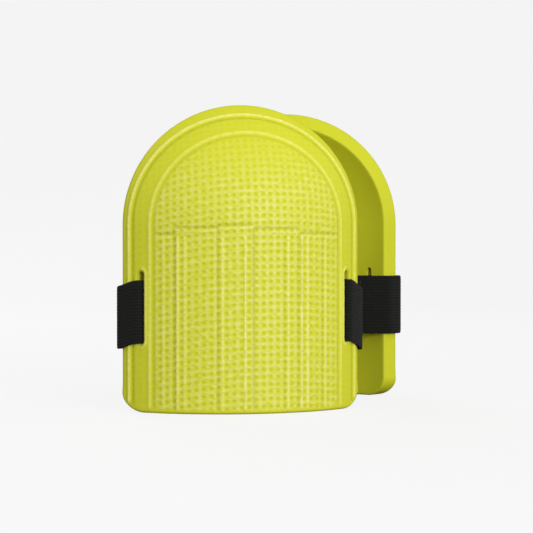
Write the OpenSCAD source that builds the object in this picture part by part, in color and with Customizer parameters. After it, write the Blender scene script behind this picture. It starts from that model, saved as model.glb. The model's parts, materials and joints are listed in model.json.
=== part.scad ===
// A pair of moulded foam knee pads, standing on their flat bottom edges with their hollow sides facing.
// Each pad is a curved foam shell with a domed top. A strap of webbing passes through a slot near each side.
// Origin: the middle of the front pad's bottom edge, halfway through the foam. X runs across the pad,
// Y runs from the front pad's outside towards the knee, and Z points up. Sizes are in millimetres.

/* [Foam shell] */
// Radius of the outer face about the pad's upright axis
pad_r = 102; // [99:0.5:108]
// Thickness of the foam
foam_t = 13; // [12:0.5:14.5]
// Half of the angle that the shell wraps round the knee
wrap_half = 50; // [49:0.5:53]
// Height from the bottom edge to the top of the arch
pad_h = 195; // [185:1:215]
// Radius of the bottom corners, seen from the front
corner_r = 13; // [8:0.5:18]
// Rounding of the outer edge
rim_r = 3.5; // [2.5:0.25:4.5]
// Rounding of the inner edge
lip_r = 1.5; // [1:0.25:2]

/* [Raised beads] */
// Distance along the surface from the edge to the outer bead
outer_bead_inset = 6.8; // [6.5:0.1:8]
// Distance along the surface from the edge to the inner bead
inner_bead_inset = 22.4; // [21.5:0.1:26]
// Radius of a bead's round section
bead_r = 2.2; // [1.8:0.1:2.6]
// How far a bead stands proud
bead_h = 0.9; // [0.6:0.1:1.2]
// Depth of the furrow along the inner side of a bead
furrow_d = 0.6; // [0.3:0.1:0.9]

/* [Pressed panels] */
// Height of the crease across the middle panels
crease_z = 116.5; // [106:0.5:117]
// How much lower the crease lies on the side panels
crease_step = 4; // [2:0.5:8]
// Distance from the centre line to the first pair of grooves
groove_1 = 5; // [3:0.5:9]
// Distance from the centre line to the second pair of grooves
groove_2 = 22; // [16:0.5:26]
// Distance from the centre line to the third pair of grooves
groove_3 = 32; // [30:0.5:38]
// Distance from the centre line to the outer pair of grooves
groove_4 = 48; // [44:0.5:54]
// Radius of a groove's round section
groove_r = 1.8; // [1.2:0.1:2.2]
// Radius of the crease's round section
crease_r = 2.6; // [2.4:0.1:3.2]
// Depth of a groove
groove_d = 0.8; // [0.4:0.1:1.1]

/* [Strap slots] */
// Width of a slot
slot_w = 4; // [3.8:0.1:5]
// Length of a slot, end to end
slot_l = 46; // [46:0.5:56]
// Height of the slot's lower end
slot_z = 43; // [30:0.5:55]
// Distance along the surface from the edge to the middle of a slot
slot_inset = 16; // [15.5:0.1:17]

/* [Strap] */
// Width of the webbing
strap_w = 40; // [30:0.5:40]
// Thickness of the webbing
strap_t = 1.6; // [1.2:0.1:1.9]
// Space between the webbing and the foam that it runs over
strap_gap = 0.3; // [0.3:0.05:0.6]
// Space between the strap's lower edge and the slot's lower end
strap_lift = 0.5; // [0.5:0.05:0.8]
// Space between the webbing and the side edge that it wraps
edge_slack = 2.4; // [1.2:0.1:3]
// Space between two sewn layers of webbing
ply_gap = 0.1; // [0.05:0.05:0.2]
// Radius of the strap's bend on the hollow side of a slot
inner_bend_r = 3; // [2.5:0.1:5]
// Radius of the strap's bend on the outer side of a slot
slot_bend_r = 2.6; // [2.4:0.1:3]
// Radius of the strap's bend round the outer edge
edge_bend_r = 5; // [4:0.1:6]
// Radius of the strap's bend back onto the band
return_bend_r = 4; // [3:0.1:5]
// Run over which the sewn end comes down to the band
landing_l = 16; // [12:0.5:20]
// Length of the sewn end that lies on the band
sewn_l = 22; // [16:0.5:26]
// Length of the free tail
tail_l = 50; // [46:0.5:52]
// Length of the tail's folded hem
hem_l = 9; // [6:0.5:12]
// Space between the strap's end and the tail's round end, where the webbing bends
bend_gap = 0.6; // [0.5:0.05:0.9]

/* [Hook and loop tapes] */
// Width of both tapes
tape_w = 37; // [24:0.5:37]
// Thickness of the hook tape
hook_t = 1.2; // [0.8:0.1:1.6]
// Thickness of the loop tape
loop_t = 1; // [0.8:0.1:1.6]
// Space between the two tapes when the strap is closed
tape_gap = 0.3; // [0.3:0.05:0.5]
// Length of the hook tape
hook_l = 30; // [20:0.5:34]
// Distance from the tail's tip to the hook tape
hook_inset = 1.5; // [1:0.25:4]
// Length of the loop tape
loop_l = 52; // [40:0.5:56]
// Distance from the strap's inner bend to the loop tape
loop_inset = 2; // [1:0.25:4]

/* [Stitching] */
// Length of one stitch
stitch_l = 2.4; // [1.6:0.1:3]
// Distance from one stitch to the next
stitch_pitch = 3.4; // [3.2:0.1:5]
// Width of the thread
stitch_w = 0.6; // [0.4:0.05:0.8]
// Height of the thread above the webbing
stitch_h = 0.3; // [0.2:0.05:0.4]
// Distance from the edge of the sewn piece to the row of stitches
stitch_inset = 2; // [1.5:0.1:3]

/* [Pair] */
// Distance from the middle of the front pad's open side back to the middle of the rear pad's
pair_gap = 90; // [80:0.5:110]
// How far the middle of the rear pad's open side is set to the side
rear_shift = 48.5; // [35:0.5:65]
// Angle that the rear pad is turned by from facing its mate squarely
rear_turn = 11; // [0:0.5:14]

/* [Hidden] */
$fn = 96;

foam_colour = [0.80, 0.84, 0.22];
webbing_colour = [0.12, 0.12, 0.11];
tape_colour = [0.08, 0.08, 0.08];
thread_colour = [0.30, 0.30, 0.28];

// Past the edge of what a cutter cuts
over = 1;
// Shell: the inner face, the upright axis's place, the height where the dome starts, and its wedge's reach
inner_r = pad_r - foam_t;
axis_y = pad_r - foam_t / 2;
rim_mid_r = pad_r - rim_r;
spring_z = pad_h - rim_r - rim_mid_r * sin(wrap_half - asin(rim_r / rim_mid_r));
wedge_r = 2 * pad_r;
// Angles round the upright axis of what lies at a distance from the edge or from the centre line
function inset_angle(inset) = wrap_half - inset / pad_r * 180 / PI;
function across_angle(x) = asin(x / pad_r);
outer_bead_a = inset_angle(outer_bead_inset);
inner_bead_a = inset_angle(inner_bead_inset);
slot_a = inset_angle(slot_inset);
// Half widths of a bead and of its furrow at the surface, and so the furrow's place beside the bead
bead_half = sqrt(bead_r * bead_r - pow(bead_r - bead_h, 2));
furrow_half = sqrt(bead_r * bead_r - pow(bead_r - furrow_d, 2));
furrow_inset = bead_half + furrow_half;

// Strap: the path's middle line over the outside, beyond the side edge, across the tail and across the band
strap_outer_r = pad_r + bead_h + strap_gap + strap_t / 2;
strap_edge_off = edge_slack + strap_t / 2;
lip_y = axis_y - inner_r * cos(wrap_half);
tail_y = lip_y + strap_gap + strap_t / 2;
band_y = tail_y - strap_t - hook_t - tape_gap - loop_t;
sewn_y = band_y + strap_t + ply_gap;
strap_z = slot_z + strap_lift;
tape_z = strap_z + (strap_w - tape_w) / 2;
// Steps of the strap's bends, and of the run where its sewn end comes down
bend_steps = 10;
landing_steps = 8;

// Rear pad's own origin, from the middle of its open side, which lies between its two side edges
rim_y = axis_y - pad_r * cos(wrap_half);
rear_x = rear_shift + rim_y * sin(rear_turn);
rear_y = rim_y + pair_gap + rim_y * cos(rear_turn);

// ---------- plan geometry ----------
// Unit vectors at an angle round the axis: straight out, and along the surface away from the centre line
function out_dir(a) = [sin(a), -cos(a)];
function along_dir(a) = [cos(a), sin(a)];
axis_p = [0, axis_y];
function on_circle(r, a) = axis_p + r * out_dir(a);
function arc(c, r, a0, a1, n = bend_steps) = [for (i = [0:n]) c + r * out_dir(a0 + (a1 - a0) * i / n)];
// Centre of a bend that touches a circle about the axis from inside, and a line beside the ray at angle a
function bend_angle(r_path, r_bend, a, off) = a + asin(off / (r_path - r_bend));
function bend_centre(r_path, r_bend, a, off) = on_circle(r_path - r_bend, bend_angle(r_path, r_bend, a, off));
// Centre of a bend that touches the line at height y and a line beside the ray at angle a
function cross_centre(y, r_bend, a, off) =
    [(off + (axis_y - y + r_bend) * sin(a)) / cos(a), y - r_bend];

inner_bend_c = cross_centre(band_y, inner_bend_r, slot_a, -inner_bend_r);
slot_bend_a = bend_angle(strap_outer_r, slot_bend_r, slot_a, slot_bend_r);
slot_bend_c = bend_centre(strap_outer_r, slot_bend_r, slot_a, slot_bend_r);
edge_off = strap_edge_off - edge_bend_r;
edge_bend_a = bend_angle(strap_outer_r, edge_bend_r, wrap_half, edge_off);
edge_bend_c = bend_centre(strap_outer_r, edge_bend_r, wrap_half, edge_off);
return_c = cross_centre(tail_y, return_bend_r, wrap_half, strap_edge_off - return_bend_r);
// Where the webbing bends when the tail is peeled off: the side run meets the tail's line
tail_root = cross_centre(tail_y, 0, wrap_half, strap_edge_off);
// The strap's last point before that bend
band_end = tail_root - (strap_t / 2 + bend_gap) * [-sin(wrap_half), cos(wrap_half)];
landing_x = inner_bend_c[0] - 1;
// Eased fall of the sewn end from the tail's line to its seat on the band
function ease(u) = u * u * (3 - 2 * u);
function landing(n = landing_steps) =
    [for (i = [0:n]) [landing_x + landing_l * (1 - i / n), tail_y + (sewn_y - tail_y) * ease(i / n)]];

// Half of the strap's path, from the band's middle out through the slot, over the bridge and past the edge
half_path = concat(
    [[0, band_y]],
    arc(inner_bend_c, inner_bend_r, 180, 90 + slot_a),
    arc(slot_bend_c, slot_bend_r, slot_a - 90, slot_bend_a),
    arc(axis_p, strap_outer_r, slot_bend_a + 1, edge_bend_a - 1, 4),
    arc(edge_bend_c, edge_bend_r, edge_bend_a, 90 + wrap_half)
);
sewn_path = concat(
    half_path,
    arc(return_c, return_bend_r, 90 + wrap_half, 180),
    landing(),
    [[landing_x - sewn_l, sewn_y]]
);
free_path = concat(half_path, [band_end]);
// The whole path, from the free side through the middle to the sewn end
band_path = concat(
    [for (i = [len(free_path) - 1:-1:1]) [-free_path[i][0], free_path[i][1]]],
    [for (i = [1:len(sewn_path) - 1]) sewn_path[i]]
);

// Points beside a path, off to its left, on the mean normal of the stretches that meet there
function unit(v) = v / norm(v);
function left_of(v) = [-v[1], v[0]];
function beside(p, off) = [
    for (i = [0:len(p) - 1])
        let (
            a = unit(p[min(i + 1, len(p) - 1)] - p[min(i, len(p) - 2)]),
            b = unit(p[max(i, 1)] - p[max(i - 1, 0)]),
            m = unit(left_of(a) + left_of(b))
        )
        p[i] + m * off / (m * left_of(a))
];
function reversed(p) = [for (i = [len(p) - 1:-1:0]) p[i]];

// ---------- foam ----------
// What a rounding takes off a corner between a circle about the axis and the side edge
module corner_cut(r_face, side, r_round) {
    r_mid = r_face - side * r_round;
    a_mid = wrap_half - asin(r_round / r_mid);
    c = r_mid * out_dir(a_mid);
    r_past = r_face + side * over;
    past = over * along_dir(wrap_half);
    difference() {
        polygon([
            c,
            r_past * out_dir(a_mid),
            r_past * out_dir(wrap_half) + past,
            r_mid * cos(wrap_half - a_mid) * out_dir(wrap_half) + past
        ]);
        translate(c) circle(r_round);
    }
}

// Plan section of the shell about its axis: sides lists 1 for the right half and -1 for the left
module shell_section(sides) {
    difference() {
        circle(pad_r);
        circle(inner_r);
        if (len(sides) == 1) {
            translate([-wedge_r, -wedge_r]) square([wedge_r, 2 * wedge_r]);
        }
        // The open side beyond the two edges
        polygon([
            [0, 0],
            wedge_r * out_dir(wrap_half),
            [wedge_r, wedge_r],
            [-wedge_r, wedge_r],
            wedge_r * out_dir(-wrap_half)
        ]);
        for (s = sides) {
            mirror([s < 0 ? 1 : 0, 0]) {
                corner_cut(pad_r, 1, rim_r);
                corner_cut(inner_r, -1, lip_r);
                for (a = [outer_bead_a, inner_bead_a]) {
                    translate((pad_r + bead_r - furrow_d) * out_dir(a - furrow_inset / pad_r * 180 / PI))
                        circle(bead_r);
                }
            }
        }
    }
    for (s = sides, a = [outer_bead_a, inner_bead_a]) {
        translate((pad_r - bead_r + bead_h) * out_dir(s * a)) circle(bead_r);
    }
}

module shell() {
    translate([0, axis_y, 0]) {
        linear_extrude(spring_z) shell_section([-1, 1]);
        translate([0, 0, spring_z]) rotate([-90, 0, 0]) rotate([0, 0, 180]) {
            rotate_extrude(angle = 180) shell_section([1]);
        }
    }
}

module bottom_corner_cut() {
    rim_x = pad_r * sin(wrap_half);
    translate([rim_x - corner_r, -pad_r, 0]) {
        difference() {
            translate([0, 0, -over]) cube([corner_r + over, 2 * pad_r, corner_r + over]);
            translate([0, -over, corner_r]) rotate([-90, 0, 0])
                cylinder(h = 2 * pad_r + 2 * over, r = corner_r);
        }
    }
}

module slot_cut() {
    rotate([0, 0, slot_a]) translate([-slot_w / 2, -pad_r - 2 * over, slot_z]) {
        depth = foam_t + 4 * over;
        translate([0, 0, slot_w / 2]) cube([slot_w, depth, slot_l - slot_w]);
        for (z = [slot_w / 2, slot_l - slot_w / 2]) {
            translate([slot_w / 2, 0, z]) rotate([-90, 0, 0]) cylinder(h = depth, d = slot_w);
        }
    }
}

// Upright groove at a distance from the centre line, up to the crease that it meets
module upright_groove(x, top) {
    rotate([0, 0, across_angle(x)]) translate([0, -(pad_r + groove_r - groove_d), -over]) {
        cylinder(h = top + over, r = groove_r);
    }
}

// Level crease between two distances from the centre line
module crease(x0, x1, z) {
    a0 = across_angle(x0);
    a1 = across_angle(x1);
    translate([0, 0, z]) rotate([0, 0, a0 - 90]) rotate_extrude(angle = a1 - a0) {
        translate([pad_r + crease_r - groove_d, 0]) circle(crease_r);
    }
}

module foam_pad() {
    side_z = crease_z - crease_step;
    inner_bead_x = pad_r * sin(inner_bead_a) - bead_half;
    color(foam_colour) difference() {
        shell();
        for (s = [0, 1]) {
            mirror([s, 0, 0]) {
                bottom_corner_cut();
                translate([0, axis_y, 0]) {
                    slot_cut();
                    upright_groove(groove_1, crease_z);
                    upright_groove(groove_2, crease_z);
                    upright_groove(groove_3, crease_z);
                    upright_groove(groove_4, side_z);
                    crease(groove_3, inner_bead_x, side_z);
                }
            }
        }
        translate([0, axis_y, 0]) crease(-groove_3, groove_3, crease_z);
    }
}

// ---------- strap ----------
module strap_band() {
    color(webbing_colour) translate([0, 0, strap_z]) linear_extrude(strap_w) {
        polygon(concat(beside(band_path, strap_t / 2), reversed(beside(band_path, -strap_t / 2))));
    }
}

// The tail lies along +X from the bend, and its hem is folded back on its outer side
module strap_tail() {
    color(webbing_colour) translate([-tail_root[0], tail_y, strap_z]) linear_extrude(strap_w) {
        circle(strap_t / 2);
        translate([0, -strap_t / 2]) square([tail_l - strap_t, strap_t]);
        translate([tail_l - hem_l, -strap_t / 2]) square([hem_l - strap_t, 2 * strap_t]);
        intersection() {
            translate([tail_l - strap_t, strap_t / 2]) circle(strap_t);
            translate([tail_l - strap_t, -strap_t / 2]) square([strap_t, 2 * strap_t]);
        }
    }
}

tail_tip_x = tail_l - tail_root[0];
hook_x = tail_tip_x - hook_inset - hook_l;
loop_x = loop_inset - inner_bend_c[0];

module hook_tape() {
    color(tape_colour) translate([hook_x, tail_y - strap_t / 2 - hook_t, tape_z])
        cube([hook_l, hook_t, tape_w]);
}

module loop_tape() {
    color(tape_colour) translate([loop_x, band_y + strap_t / 2, tape_z]) cube([loop_l, loop_t, tape_w]);
}

// ---------- stitching ----------
// A row of stitches of a given length from the origin along +X, with its thread rising along +Z
module stitch_row(length) {
    count = max(1, floor((length + stitch_pitch - stitch_l) / stitch_pitch));
    spread = (count - 1) * stitch_pitch + stitch_l;
    for (i = [0:count - 1]) {
        translate([(length - spread) / 2 + i * stitch_pitch, -stitch_w / 2, 0])
            cube([stitch_l, stitch_w, stitch_h]);
    }
}

// A rectangle of stitches with its low corner at the origin, on a face that looks along +Y
module stitch_box(w, h) {
    rotate([90, 0, 0]) mirror([0, 0, 1]) {
        for (y = [0, h]) {
            translate([stitch_w, y, 0]) stitch_row(w - 2 * stitch_w);
        }
        for (x = [0, w]) {
            translate([x, stitch_w, 0]) rotate([0, 0, 90]) stitch_row(h - 2 * stitch_w);
        }
    }
}

module end_stitches() {
    corner = [landing_x - sewn_l + stitch_inset, sewn_y + strap_t / 2, strap_z + stitch_inset];
    color(thread_colour) translate(corner) {
        stitch_box(sewn_l - 2 * stitch_inset, strap_w - 2 * stitch_inset);
    }
}

module hook_stitches() {
    free_l = hook_l - hem_l;
    color(thread_colour) translate([hook_x + stitch_inset, tail_y + strap_t / 2, tape_z + stitch_inset]) {
        stitch_box(free_l - stitch_inset, tape_w - 2 * stitch_inset);
    }
}

module loop_stitches() {
    face_y = band_y - strap_t / 2 - stitch_h;
    color(thread_colour) translate([loop_x + stitch_inset, face_y, tape_z + stitch_inset]) {
        stitch_box(loop_l - 2 * stitch_inset, tape_w - 2 * stitch_inset);
    }
}

module hem_stitches() {
    face_y = tail_y + strap_t * 3 / 2;
    color(thread_colour) translate([tail_tip_x - hem_l + stitch_inset, face_y, strap_z + stitch_inset]) {
        rotate([90, 0, 0]) mirror([0, 0, 1]) rotate([0, 0, 90]) stitch_row(strap_w - 2 * stitch_inset);
    }
}

// ---------- the rear pad stands behind, turned to face the front one ----------
module rear() {
    translate([rear_x, rear_y, 0]) rotate([0, 0, 180 - rear_turn]) children();
}

foam_pad();  // front_foam_pad
strap_band();  // front_strap_band
strap_tail();  // front_strap_tail
hook_tape();  // front_hook_tape
loop_tape();  // front_loop_tape
end_stitches();  // front_end_stitches
hook_stitches();  // front_hook_stitches
loop_stitches();  // front_loop_stitches
hem_stitches();  // front_hem_stitches
rear() foam_pad();  // rear_foam_pad
rear() strap_band();  // rear_strap_band
rear() strap_tail();  // rear_strap_tail
rear() hook_tape();  // rear_hook_tape
rear() loop_tape();  // rear_loop_tape
rear() end_stitches();  // rear_end_stitches
rear() hook_stitches();  // rear_hook_stitches
rear() loop_stitches();  // rear_loop_stitches
rear() hem_stitches();  // rear_hem_stitches
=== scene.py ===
import json
from math import atan2, cos, pi, radians, sin, tan

import bmesh
import bpy
import numpy as np
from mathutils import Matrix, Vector


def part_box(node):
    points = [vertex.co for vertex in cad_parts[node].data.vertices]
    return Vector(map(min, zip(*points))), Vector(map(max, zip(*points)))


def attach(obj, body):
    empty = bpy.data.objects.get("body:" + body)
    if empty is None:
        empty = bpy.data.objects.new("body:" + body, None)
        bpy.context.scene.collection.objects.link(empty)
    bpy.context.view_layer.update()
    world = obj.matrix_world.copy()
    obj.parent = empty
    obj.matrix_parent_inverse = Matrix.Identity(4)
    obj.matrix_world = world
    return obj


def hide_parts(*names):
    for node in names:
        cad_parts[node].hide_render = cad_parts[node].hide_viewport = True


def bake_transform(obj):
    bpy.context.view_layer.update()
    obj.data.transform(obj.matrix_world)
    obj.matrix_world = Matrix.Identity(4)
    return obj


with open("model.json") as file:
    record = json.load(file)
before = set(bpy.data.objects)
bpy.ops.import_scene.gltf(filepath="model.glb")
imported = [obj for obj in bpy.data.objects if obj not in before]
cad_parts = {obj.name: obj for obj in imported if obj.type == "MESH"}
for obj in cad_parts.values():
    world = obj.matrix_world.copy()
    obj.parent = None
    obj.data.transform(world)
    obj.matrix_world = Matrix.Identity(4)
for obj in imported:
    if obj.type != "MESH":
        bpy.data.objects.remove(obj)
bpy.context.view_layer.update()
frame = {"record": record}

# ------------------------------
# Foam shells. Each pad is one moulding of soft closed-cell foam, bent round the knee, with a domed top.
# Its outside is pressed in a heated mould, which leaves two beads along the outline, a waffle of small pits
# and five long panels. The edge is cut square and buffed round, and the strap slots are punched through.

MM = 0.001
SHELL_R = 102 * MM          # outer face, about the pad's upright axis
FOAM_T = 13 * MM
WRAP = radians(50)          # half of the angle that the shell wraps round
CORNER_R = 13 * MM          # bottom corners, seen from the front
RIM_R = 3.5 * MM            # rounding of the outer edge
FOOT_R = 1.8 * MM           # rounding of the bottom edge
LIP_R = 1.5 * MM            # rounding of the inner edge
FOOT_TOP = (4 * MM, 20 * MM)    # the foot's rounding grows into the rim's between these heights
AXIS_Y = SHELL_R - FOAM_T / 2
PAD_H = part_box("front_foam_pad")[1][2]
SPRING = PAD_H - RIM_R - (SHELL_R - RIM_R) * sin(WRAP - np.arcsin(RIM_R / (SHELL_R - RIM_R)))
EDGE_P = SHELL_R * WRAP     # from the centre line to the side edge, along the outer face
SLOT_INSET = 16 * MM
SLOT_W = 4 * MM
SLOT_Z = (43 * MM, 89 * MM)
SLOT_P = EDGE_P - SLOT_INSET
SLOT_A = SLOT_P / SHELL_R

GRID = 0.96 * MM
PUNCH_OVER = 3 * MM
SMOOTH_ANGLE = radians(55)
PADS = ("front", "rear")


def ease(x, lo, hi):
    """Rises smoothly from 0 at lo to 1 at hi, as 3t^2 - 2t^3."""
    t = np.clip((x - lo) / (hi - lo), 0, 1)
    return t * t * (3 - 2 * t)


def swell(x, half):
    """A raised cosine of height 1 and half width half, and 0 beyond it."""
    return 0.5 + 0.5 * np.cos(pi * np.clip(x / half, -1, 1))


def out_dir(a):
    """Unit vector in plan that points straight out of the shell at angle a from the centre line."""
    return np.stack([np.sin(a), -np.cos(a)], -1)


def shell_point(p, q, depth):
    """Point at depth below the shell's outer face. Below the spring line the shell is a cylinder: p is the
    length round it and q the height. Above it the shell is a sphere, and the distance of (p, q) from the
    middle of the spring line is the length of the great circle that runs that way from the front."""
    up = np.maximum(q - SPRING, 0)
    rho = np.hypot(p, up)
    turn = rho / SHELL_R
    per_rho = np.where(rho > 1e-9, np.sin(turn) / np.maximum(rho, 1e-9), 1 / SHELL_R)
    out = np.stack([per_rho * p, -np.cos(turn), per_rho * up], -1)
    base = np.stack([np.zeros_like(p), np.full_like(p, AXIS_Y), np.minimum(q, SPRING)], -1)
    return base + (SHELL_R - depth)[..., None] * out


def run_along(path):
    """The length run along a path up to each of its points."""
    return np.append(0, np.cumsum(np.hypot(*np.diff(path, axis=0).T)))


def at_lengths(path, lengths):
    """Points of a flat path at given lengths along it, each on the straight line between two neighbours."""
    run = run_along(path)
    return np.stack([np.interp(lengths, run, path[:, i]) for i in range(2)], -1)


def outline_loop(spacing):
    """The pad's outline in (p, q), evenly spaced, anticlockwise from the middle of the bottom edge: half the
    bottom, a corner that is round seen from the front, the side and a quarter of the arch, then mirrored."""
    rim_x = SHELL_R * sin(WRAP)
    t = np.linspace(0, pi / 2, 60)
    corner_x = rim_x - CORNER_R + CORNER_R * np.sin(t)
    corner = np.stack([SHELL_R * np.arcsin(corner_x / SHELL_R), CORNER_R * (1 - np.cos(t))], -1)
    arch = np.stack([EDGE_P * np.cos(t), SPRING + EDGE_P * np.sin(t)], -1)
    half = np.concatenate([[[0, 0]], corner, arch])
    whole = np.concatenate([half, (half * [-1, 1])[-2::-1]])
    length = run_along(whole)[-1]
    return at_lengths(whole, np.linspace(0, length, int(length / spacing), endpoint=False))


OUTLINE = outline_loop(GRID)
along = np.roll(OUTLINE, -1, 0) - np.roll(OUTLINE, 1, 0)
INWARD = np.stack([-along[:, 1], along[:, 0]], -1) / np.hypot(*along.T)[:, None]
STRAIGHT_IN = 9 * MM        # rings this far in keep an even distance from the outline, and then they shrink
POLE = np.array([0, 105 * MM])
INNER_LOOP = OUTLINE + STRAIGHT_IN * INWARD

# The mould's relief. A bead runs at one distance from the side edge and at another from the crown's. Panels
# are placed by millimetres across the front and the height of their top, and ribs by steps of the pits, with
# their heights, so that most of them lie between two columns of pits.
OUTER_BEAD = (6.8 * MM, 11.5 * MM, 0.8 * MM)
INNER_BEAD = (22.4 * MM, 26.5 * MM, 0.5 * MM)
BEAD_HALF = 1.7 * MM
FURROW_IN, FURROW_HALF = 3 * MM, 1.6 * MM      # beside each bead, and half as deep as it is high
PIT_STEP = (4.75 * MM, 4.6 * MM)
PIT_DEPTH = 0.32 * MM
PIT_R = 0.36                # of a pit, as a share of the step from one to the next
ROW_BOW = 1.4               # per metre: how far the rows of pits droop away from their crown
ROW_CROWN = 15 * MM
PANELS = [(-62, -48, 112.5), (-48, -22, 116.5), (-22, 0.5, 118), (0.5, 31, 116), (31, 62, 112.5)]
CREASE_DEPTH = 0.38         # millimetres, along the top of a panel
ROLL_H, ROLL_BELOW = 0.15, 2.2      # of the foam that swells under the crease
GROOVE_DEPTH = 0.42 * MM    # between two panels
GROOVE_HALF = 1.5 * MM
RIBS = {-12: 0.3, -10: 0.5, -9: 0.3, -4: 0.3, -1: 0.75, 4.5: -0.3, 5: 0.5, 7: 0.7, 8: 0.6, 10.5: -0.3,
        11: 0.4}
RIB_HALF = 1.2 * MM
RIB_TOP = (109 * MM, 112 * MM)      # where the ribs fade out upwards
WELT_H, WELT_AT, WELT_HALF = 0.5 * MM, 1.7 * MM, 1.6 * MM   # along the inner side of each slot
SLOT_SINK, SINK_OVER = 0.9 * MM, 1.3 * MM      # the punch draws the foam in at a slot's edge


def from_bead(p, q, bead):
    """Distance inwards from the middle of a bead. Its distance from the edge grows round the arch with the
    square of the sine of the angle above the spring line."""
    up = np.maximum(q - SPRING, 0)
    rho = np.hypot(p, up)
    high = (up / np.maximum(rho, 1 * MM)) ** 2
    side, crown = bead[:2]
    return EDGE_P - rho - side - (crown - side) * high


def slot_distance(p, q):
    """Distance along the outer face from the nearer slot's round-ended outline, negative inside it."""
    end = SLOT_W / 2
    return np.hypot(np.abs(p) - SLOT_P, q - np.clip(q, SLOT_Z[0] + end, SLOT_Z[1] - end)) - end


def inside_inner(p, q):
    """0 up to the inner bead, and rising to 1 inside it."""
    return ease(from_bead(p, q, INNER_BEAD), 1.6 * MM, 5 * MM)


def field(p, q):
    """Where the waffle shows, 0 to 1: the middle, weaker up the dome, and a trace between the beads."""
    fading = 1 - 0.65 * ease(q, SPRING + 20 * MM, SPRING + 58 * MM)
    middle = inside_inner(p, q) * fading
    between = ease(from_bead(p, q, OUTER_BEAD), 3 * MM, 5 * MM)
    between *= ease(-from_bead(p, q, INNER_BEAD), 2 * MM, 4 * MM)
    return middle + 0.15 * between


def waffle(p, q):
    """Round pits on a square grid whose rows droop from their crown, each with a smooth bowl of a bottom.
    The distance to the nearest pit is counted in steps of the grid."""
    across = p / PIT_STEP[0] - 0.5
    up = (q + ROW_BOW * (p - ROW_CROWN) ** 2) / PIT_STEP[1]
    away = np.hypot(across - np.round(across), up - np.round(up))
    return -PIT_DEPTH * (1 - ease(away, 0.04, PIT_R))


def relief(p, q):
    """Height of the outside above the plain shell, but for the waffle: a sum of swells along the beads and
    their furrows, the panels' creases and grooves, the ribs and the slots' welts. It fades at the edge."""
    from_edge = EDGE_P - np.hypot(p, np.maximum(q - SPRING, 0))
    h = np.zeros_like(p)
    for bead in (OUTER_BEAD, INNER_BEAD):
        h += bead[2] * swell(from_bead(p, q, bead), BEAD_HALF)
        h -= 0.5 * bead[2] * swell(from_bead(p, q, bead) - FURROW_IN, FURROW_HALF)
    x = SHELL_R * np.sin(p / SHELL_R)
    for x0, x1, top in PANELS:
        inside = ease(x, (x0 - 0.6) * MM, (x0 + 0.6) * MM) * ease(-x, -(x1 + 0.6) * MM, -(x1 - 0.6) * MM)
        crease = ROLL_H * swell(q - (top - ROLL_BELOW) * MM, GROOVE_HALF)
        crease -= CREASE_DEPTH * swell(q - top * MM, GROOVE_HALF)
        h += inside * inside_inner(p, q) * crease * MM
    for x0, _, top in PANELS[1:]:
        under_top = ease(-q, -(top + 0.5) * MM, -(top - 1.5) * MM)
        h -= GROOVE_DEPTH * swell(x - x0 * MM, GROOVE_HALF) * under_top
    for steps, height in RIBS.items():
        h += height * MM * swell(p - steps * PIT_STEP[0], RIB_HALF) * ease(-q, -RIB_TOP[1], -RIB_TOP[0])
    d = slot_distance(p, q)
    inner_side = ease(SLOT_P - np.abs(p), -0.5 * MM, 1.5 * MM)
    h += WELT_H * inner_side * swell(d - WELT_AT, WELT_HALF)
    h -= SLOT_SINK * np.clip(1 - d / SINK_OVER, 0, 1) ** 2
    return h * ease(from_edge, 3 * MM, 4.5 * MM)


def shell_rings():
    """Rings of points from the front's pole out to the rim, round it and in to the back's pole. Each point
    also has its marks: p, q, the relief in millimetres and the waffle's strength. A ring is the outline moved
    in, or the innermost of those drawn towards the pole."""
    rings, marks = [], []
    reach = np.hypot(*(OUTLINE[len(OUTLINE) // 2] - POLE)) - STRAIGHT_IN
    count = int(reach / GRID)
    shares = np.arange(1, count + 1) / count
    edge_r = FOOT_R + (RIM_R - FOOT_R) * ease(OUTLINE[:, 1], *FOOT_TOP)

    def add(places, depth, raised=False):
        p, q = places[:, 0], places[:, 1]
        h, strength = (relief(p, q), field(p, q)) if raised else np.zeros((2, len(p)))
        rings.append(shell_point(p, q, depth - h - strength * waffle(p, q)))
        marks.append(np.stack([p, q, h / MM, strength], -1))

    for share in shares:
        add(POLE + share * (INNER_LOOP - POLE), np.zeros(len(OUTLINE)), True)
    for inset in np.linspace(STRAIGHT_IN, RIM_R, int((STRAIGHT_IN - RIM_R) / GRID) + 2)[1:]:
        add(OUTLINE + inset * INWARD, np.zeros(len(OUTLINE)), True)
    for t in np.linspace(0, pi / 2, 8):
        add(OUTLINE + (edge_r * (1 - sin(t)))[:, None] * INWARD, edge_r * (1 - cos(t)))
    for share in (0.25, 0.5, 0.75):
        add(OUTLINE, edge_r + share * (FOAM_T - LIP_R - edge_r))
    for t in np.linspace(0, pi / 2, 6):
        inset, depth = LIP_R * (1 - cos(t)), FOAM_T - LIP_R * (1 - sin(t))
        add(OUTLINE + inset * INWARD, np.full(len(OUTLINE), depth))
    full = np.full(len(OUTLINE), FOAM_T)
    for inset in (4 * MM, STRAIGHT_IN):
        add(OUTLINE + inset * INWARD, full)
    for share in np.linspace(1, 0, 20)[1:-1]:
        add(POLE + share * (INNER_LOOP - POLE), full)
    return np.array(rings), np.array(marks)


def smoothed(mesh):
    """Shades a mesh smooth, but for edges sharper than an angle."""
    mesh.shade_smooth()
    mesh.set_sharp_from_angle(angle=SMOOTH_ANGLE)


def scene_object(name, data):
    """A new object of the scene, at the origin."""
    obj = bpy.data.objects.new(name, data)
    bpy.context.scene.collection.objects.link(obj)
    return obj


def mesh_object(name, points, faces):
    """A new object from points and lists of corner numbers."""
    mesh = bpy.data.meshes.new(name)
    mesh.from_pydata(points.tolist(), [], faces)
    mesh.update()
    smoothed(mesh)
    return scene_object(name, mesh)


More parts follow.
